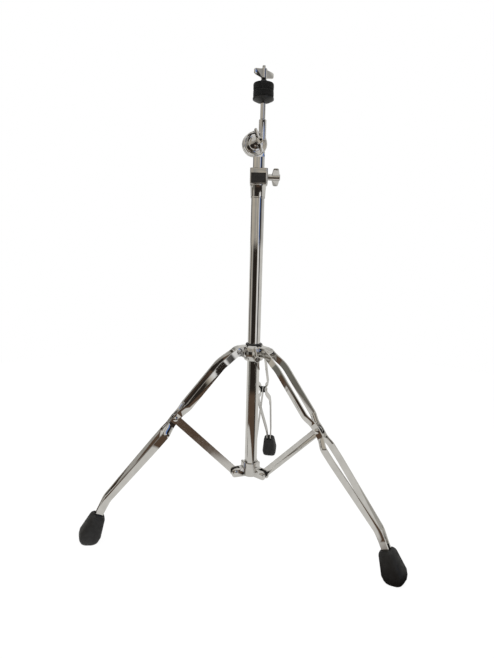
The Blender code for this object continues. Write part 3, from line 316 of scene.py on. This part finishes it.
def felt_washer(frame, node, rounds, material, seed):
    """A pressed felt ring with a rough skin and short loose fibres."""
    draw = random.Random(seed)
    round_low, round_high = rounds
    low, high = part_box(node)
    centre = (low + high) / 2
    radius = (high.x - low.x) / 2
    profile = felt_profile(FELT_BORE, radius, low.z, high.z, round_low, round_high)
    bm = bmesh.new()
    rows = []
    for r, z in profile:
        row = []
        for k in range(FELT_SEGMENTS):
            turn = 2 * math.pi * k / FELT_SEGMENTS
            reach = r + (draw.uniform(-1, 0.3) * FELT_ROUGHNESS if r > FELT_BORE else 0.0)
            row.append(bm.verts.new((centre.x + reach * math.cos(turn), centre.y + reach * math.sin(turn), z)))
        rows.append(row)
    for one, two in zip(rows, rows[1:] + rows[:1]):
        for k in range(FELT_SEGMENTS):
            nxt = (k + 1) % FELT_SEGMENTS
            bm.faces.new((one[k], one[nxt], two[nxt], two[k]))
    for _ in range(FIBRE_COUNT):
        add_fibre(bm, draw, centre, radius, low.z + round_low, high.z - round_high)
    bmesh.ops.recalc_face_normals(bm, faces=bm.faces)
    mesh = bpy.data.meshes.new(f"{node}_cloth")
    bm.to_mesh(mesh)
    bm.free()
    mesh.shade_smooth()
    return linked(f"{node}_cloth", mesh, material, frame["nodes"][node]["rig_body"], "black_felt", node)


def add_fibre(bm, draw, centre, radius, low, high):
    """One stray fibre lying along the felt's side."""
    turn = draw.uniform(0, 2 * math.pi)
    height = draw.uniform(low, high)
    out = Vector((math.cos(turn), math.sin(turn), 0.0))
    along = Vector((-out.y, out.x, draw.uniform(-1.0, 1.0))).normalized()
    start = Vector((centre.x, centre.y, height)) + out * (radius - FIBRE_ROOT)
    middle = start + along * FIBRE_LENGTH / 2 + out * draw.uniform(FIBRE_ROOT, 3 * FIBRE_ROOT)
    end = start + along * FIBRE_LENGTH
    side = out.cross(along).normalized() * FIBRE_RADIUS
    lift = out * FIBRE_RADIUS
    corners = (side, lift, -side)
    rings = [[bm.verts.new(point + corner) for corner in corners] for point in (start, middle, end)]
    for one, two in zip(rings, rings[1:]):
        for k in range(3):
            bm.faces.new((one[k], one[(k + 1) % 3], two[(k + 1) % 3], two[k]))
    bm.faces.new(rings[0])
    bm.faces.new(rings[-1])


def cymbal_rod(frame, material):
    """The rod with a real helical thread on its exposed upper end."""
    low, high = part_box("cymbal_rod")
    seat_low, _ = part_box("cymbal_seat")
    centre = (low + high) / 2
    rod_radius = (high.x - low.x) / 2
    step = seat_low.z - STEP_GAP
    thread_end = high.z - THREAD_RUNOUT
    levels = [
        (rod_radius - ROD_CHAMFER, low.z), (rod_radius, low.z + ROD_CHAMFER), (rod_radius, step - STEP_GAP),
        (rod_radius - STEP_GAP, step), (THREAD_RADIUS - THREAD_DEPTH, step),
    ]
    bm = bmesh.new()
    rings = [ring_at(bm, centre, radius, z) for radius, z in levels]
    count = int((thread_end - step) / THREAD_PITCH * THREAD_RINGS_PER_TURN)
    for k in range(1, count + 1):
        rings.append(thread_ring(bm, centre, THREAD_RADIUS, step + (thread_end - step) * k / count))
    rings.append(ring_at(bm, centre, THREAD_RADIUS - THREAD_DEPTH, high.z))
    for one, two in zip(rings, rings[1:]):
        for k in range(THREAD_STEPS):
            nxt = (k + 1) % THREAD_STEPS
            bm.faces.new((one[k], one[nxt], two[nxt], two[k]))
    bm.faces.new(rings[0])
    bm.faces.new(rings[-1])
    bmesh.ops.recalc_face_normals(bm, faces=bm.faces)
    mesh = bpy.data.meshes.new("threaded_rod")
    bm.to_mesh(mesh)
    bm.free()
    mesh.shade_smooth()
    mesh.set_sharp_from_angle(angle=SMOOTH_ANGLE)
    return linked("threaded_rod", mesh, material, "rod_head", "chrome", "cymbal_rod")


def ring_at(bm, centre, radius, z):
    turns = [2 * math.pi * k / THREAD_STEPS for k in range(THREAD_STEPS)]
    return [bm.verts.new((centre.x + radius * math.cos(t), centre.y + radius * math.sin(t), z)) for t in turns]


def thread_ring(bm, centre, radius, z):
    """A ring whose radius follows a triangular thread at this height."""
    ring = []
    for k in range(THREAD_STEPS):
        turn = k / THREAD_STEPS
        phase = (z / THREAD_PITCH - turn) % 1.0
        reach = radius - THREAD_DEPTH * abs(2 * phase - 1)
        angle = 2 * math.pi * turn
        ring.append(bm.verts.new((centre.x + reach * math.cos(angle), centre.y + reach * math.sin(angle), z)))
    return ring


def build_looks(frame, tube_y):
    chrome = chrome_material("chrome_plate", (0.58, 0.57, 0.55), (0.64, 0.63, 0.61), 0.03, 0.07)
    cast = chrome_material("chrome_casting", (0.55, 0.54, 0.52), (0.62, 0.61, 0.59), 0.07, 0.14)
    flat = chrome_material("plated_strut", (0.56, 0.55, 0.53), (0.64, 0.63, 0.61), 0.10, 0.16)
    plastic = plastic_material("satin_black_plastic", (0.004, 0.004, 0.004), (0.008, 0.008, 0.008), 0.42, 500.0)
    rubber = plastic_material("matt_black_rubber", (0.003, 0.003, 0.003), (0.007, 0.007, 0.007), 0.58, 700.0)
    # Black for the floor of the clamp's recess, darker than the chrome casting around it
    recess_black = plastic_material("black_recess_floor", (0.004, 0.004, 0.005), (0.008, 0.008, 0.009), 0.18, 120.0)
    felt = felt_material()
    castings = ("leg_collar", "lower_bracket", "tube_joint", "tilter_lower_body", "tilter_upper_body")
    for node, source in frame["nodes"].items():
        slot = source.data.materials[0].name.split(".")[0]
        if node in ("upper_felt", "lower_felt", "cymbal_rod"):
            continue
        if slot == "chrome":
            look = chrome
            if node in castings or "wing" in node:
                look = cast
            if node.startswith("strut_"):
                look = flat
        else:
            look = rubber if slot == "black_rubber" else plastic
        piece = dressed(frame, node, look, slot, STRIP_EDGE if "strip" in node or "strut" in node else 0.0)
        # The clamp's recess floor is coloured black
        if node == "tube_joint":
            colour_recess_floor(piece, tube_y, recess_black)
    felt_washer(frame, "lower_felt", LOWER_FELT_ROUNDS, felt, LOWER_FELT_SEED)
    felt_washer(frame, "upper_felt", UPPER_FELT_ROUNDS, felt, UPPER_FELT_SEED)
    cymbal_rod(frame, chrome)


def white_floor(tube_y):
    """A pale floor: white to the camera with the stand's faint shadow, boards and a pale sheet to the metal."""
    bm = bmesh.new()
    bmesh.ops.create_circle(bm, cap_ends=True, segments=FLOOR_SEGMENTS, radius=FLOOR_RADIUS)
    mesh = bpy.data.meshes.new("floor")
    bm.to_mesh(mesh)
    bm.free()
    floor = bpy.data.objects.new("floor", mesh)
    bpy.context.scene.collection.objects.link(floor)
    floor.location.y = tube_y
    material = bpy.data.materials.new("white_floor")
    tree, shader = nodes_of(material)
    shader.inputs["Base Color"].default_value = (0.92, 0.92, 0.92, 1.0)
    shader.inputs["Roughness"].default_value = 0.9
    shader.inputs["Specular IOR Level"].default_value = 0.0
    white = add(tree, "ShaderNodeEmission", Color=(1.0, 1.0, 1.0, 1.0), Strength=WHITE_FLOOR_GLOW)
    path = add(tree, "ShaderNodeLightPath")
    share = add(tree, "ShaderNodeMath", operation="MULTIPLY")
    share.inputs[1].default_value = WHITE_FLOOR_SHARE
    tree.links.new(path.outputs["Is Camera Ray"], share.inputs[0])
    seen = add(tree, "ShaderNodeMixShader")
    tree.links.new(share.outputs["Value"], seen.inputs["Fac"])
    tree.links.new(shader.outputs["BSDF"], seen.inputs[1])
    tree.links.new(white.outputs["Emission"], seen.inputs[2])
    mirrored = add(tree, "ShaderNodeMixShader")
    tree.links.new(path.outputs["Is Glossy Ray"], mirrored.inputs["Fac"])
    tree.links.new(seen.outputs["Shader"], mirrored.inputs[1])
    tree.links.new(mirrored_floor(tree), mirrored.inputs[2])
    tree.links.new(mirrored.outputs["Shader"], tree.nodes["Material Output"].inputs["Surface"])
    mesh.materials.append(material)


def mirrored_floor(tree):
    """What the metal sees of the floor: a pale sheet under the stand, boards around it, and what is beyond."""
    place = add(tree, "ShaderNodeTexCoord")
    reach = add(tree, "ShaderNodeVectorMath", operation="DISTANCE")
    reach.inputs[1].default_value = SHEET_CENTRE
    tree.links.new(place.outputs["Object"], reach.inputs[0])
    beyond = mapped(tree, reach.outputs["Value"], SHEET_RADIUS - SHEET_BLUR, SHEET_RADIUS + SHEET_BLUR)
    sheet = add(tree, "ShaderNodeRGB")
    sheet.outputs["Color"].default_value = (*PALE, 1.0)
    fraction = bearing(tree, place.outputs["Object"])
    near = mixed(tree, beyond, sheet.outputs["Color"], around(tree, fraction, BOARDS))
    distance = add(tree, "ShaderNodeVectorMath", operation="LENGTH")
    tree.links.new(place.outputs["Object"], distance.inputs[0])
    outside = mapped(tree, distance.outputs["Value"], BOARDS_END - BOARDS_BLUR, BOARDS_END + BOARDS_BLUR)
    glow = add(tree, "ShaderNodeEmission")
    tree.links.new(mixed(tree, outside, near, around(tree, fraction, FAR_FLOOR)), glow.inputs["Color"])
    return glow.outputs["Emission"]


def bearing(tree, direction):
    """The direction's turn about the vertical, as a share of a full turn."""
    axes = add(tree, "ShaderNodeSeparateXYZ")
    tree.links.new(direction, axes.inputs["Vector"])
    turn = add(tree, "ShaderNodeMath", operation="ARCTAN2")
    tree.links.new(axes.outputs["Y"], turn.inputs[0])
    tree.links.new(axes.outputs["X"], turn.inputs[1])
    return mapped(tree, turn.outputs["Value"], -math.pi, math.pi)


def ramp_of(tree, stops):
    """A colour ramp from (position, colour) pairs in rising order."""
    ramp = add(tree, "ShaderNodeValToRGB")
    elements = ramp.color_ramp.elements
    elements[0].position = stops[0][0]
    elements[1].position = stops[-1][0]
    for position, _ in stops[1:-1]:
        elements.new(position)
    for element, (_, colour) in zip(elements, stops):
        element.color = (*colour, 1.0)
    return ramp


def around(tree, fraction, room):
    """A ramp over the whole turn, from a room's list of angles and colours."""
    stops = sorted((((angle + CAMERA_SIDE + 180.0) % 360.0) / 360.0, colour) for angle, colour in room)
    stops = [(0.0, stops[-1][1])] + [stop for stop in stops if stop[0] > 0.0] + [(1.0, stops[-1][1])]
    ramp = ramp_of(tree, stops)
    tree.links.new(fraction, ramp.inputs["Fac"])
    return ramp.outputs["Color"]


def studio_world():
    """White to the camera; the metal mirrors a room with walls, a window and dark furniture."""
    world = bpy.data.worlds.new("studio")
    bpy.context.scene.world = world
    world.use_nodes = True
    tree = world.node_tree
    white = tree.nodes["Background"]
    white.inputs["Color"].default_value = (1.0, 1.0, 1.0, 1.0)
    place = add(tree, "ShaderNodeTexCoord")
    axes = add(tree, "ShaderNodeSeparateXYZ")
    tree.links.new(place.outputs["Generated"], axes.inputs["Vector"])
    fraction = bearing(tree, place.outputs["Generated"])
    above = mapped(tree, axes.outputs["Z"], -HORIZON, HORIZON)
    ceiling = mapped(tree, axes.outputs["Z"], CEILING_FROM, CEILING_TO)
    walls = mixed(tree, above, around(tree, fraction, LOW_ROOM), around(tree, fraction, HIGH_ROOM))
    overhead = add(tree, "ShaderNodeRGB")
    overhead.outputs["Color"].default_value = (*PALE, 1.0)
    room = add(tree, "ShaderNodeBackground", Strength=1.0)
    tree.links.new(mixed(tree, ceiling, walls, overhead.outputs["Color"]), room.inputs["Color"])
    soft = add(tree, "ShaderNodeBackground", Color=(1.0, 1.0, 1.0, 1.0), Strength=WORLD_STRENGTH)
    path = add(tree, "ShaderNodeLightPath")
    shiny = add(tree, "ShaderNodeMixShader")
    tree.links.new(path.outputs["Is Glossy Ray"], shiny.inputs["Fac"])
    tree.links.new(soft.outputs["Background"], shiny.inputs[1])
    tree.links.new(room.outputs["Background"], shiny.inputs[2])
    seen = add(tree, "ShaderNodeMixShader")
    tree.links.new(path.outputs["Is Camera Ray"], seen.inputs["Fac"])
    tree.links.new(shiny.outputs["Shader"], seen.inputs[1])
    tree.links.new(white.outputs["Background"], seen.inputs[2])
    tree.links.new(seen.outputs["Shader"], tree.nodes["World Output"].inputs["Surface"])


def mapped(tree, value, low, high):
    """The value's range low..high as 0..1."""
    span = add(tree, "ShaderNodeMapRange")
    span.inputs["From Min"].default_value = low
    span.inputs["From Max"].default_value = high
    tree.links.new(value, span.inputs["Value"])
    return span.outputs["Result"]


def mixed(tree, factor, one, two):
    mix = add(tree, "ShaderNodeMix", data_type="RGBA")
    shown = [socket for socket in mix.inputs if socket.enabled]
    tree.links.new(factor, shown[0])
    tree.links.new(one, shown[1])
    tree.links.new(two, shown[2])
    return next(socket for socket in mix.outputs if socket.enabled)


def area_light(name, place, target, size, power):
    light = bpy.data.lights.new(name, "AREA")
    light.size = size
    light.energy = power
    lamp = bpy.data.objects.new(name, light)
    bpy.context.scene.collection.objects.link(lamp)
    lamp.location = place
    lamp.visible_glossy = False
    lamp.rotation_euler = (Vector(target) - Vector(place)).to_track_quat("-Z", "Y").to_euler()
    return lamp


def camera(tube_y, tube_foot):
    data = bpy.data.cameras.new("photo_camera")
    data.sensor_width = SENSOR
    data.lens = FOCAL_PIXELS * SENSOR / IMAGE_HEIGHT
    data.clip_end = VIEW_DEPTH
    eye = bpy.data.objects.new("photo_camera", data)
    bpy.context.scene.collection.objects.link(eye)
    forward = Vector((math.cos(CAMERA_AZIMUTH) * math.cos(CAMERA_PITCH),
                      math.sin(CAMERA_AZIMUTH) * math.cos(CAMERA_PITCH), -math.sin(CAMERA_PITCH)))
    level = Vector((math.sin(CAMERA_AZIMUTH), -math.cos(CAMERA_AZIMUTH), 0.0))
    upward = level.cross(forward)
    right = level * math.cos(CAMERA_ROLL) + upward * math.sin(CAMERA_ROLL)
    up = upward * math.cos(CAMERA_ROLL) - level * math.sin(CAMERA_ROLL)
    turn = Matrix((right, up, -forward)).transposed()
    place = Matrix.Translation((CAMERA_RIGHT, tube_y - CAMERA_BACK, tube_foot + CAMERA_RISE))
    eye.matrix_world = place @ turn.to_4x4()
    bpy.context.scene.camera = eye


def main():
    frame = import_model()
    tube_low, tube_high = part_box("base_tube")
    tube_y = (tube_low.y + tube_high.y) / 2
    camera(tube_y, tube_low.z)
    build_looks(frame, tube_y)
    white_floor(tube_y)
    studio_world()
    for name, place, size, power in LAMPS:
        area_light(name, place, (0.0, tube_y, LAMP_TARGET_HEIGHT), size, power)
    scene = bpy.context.scene
    scene.view_settings.view_transform = "Standard"


main()
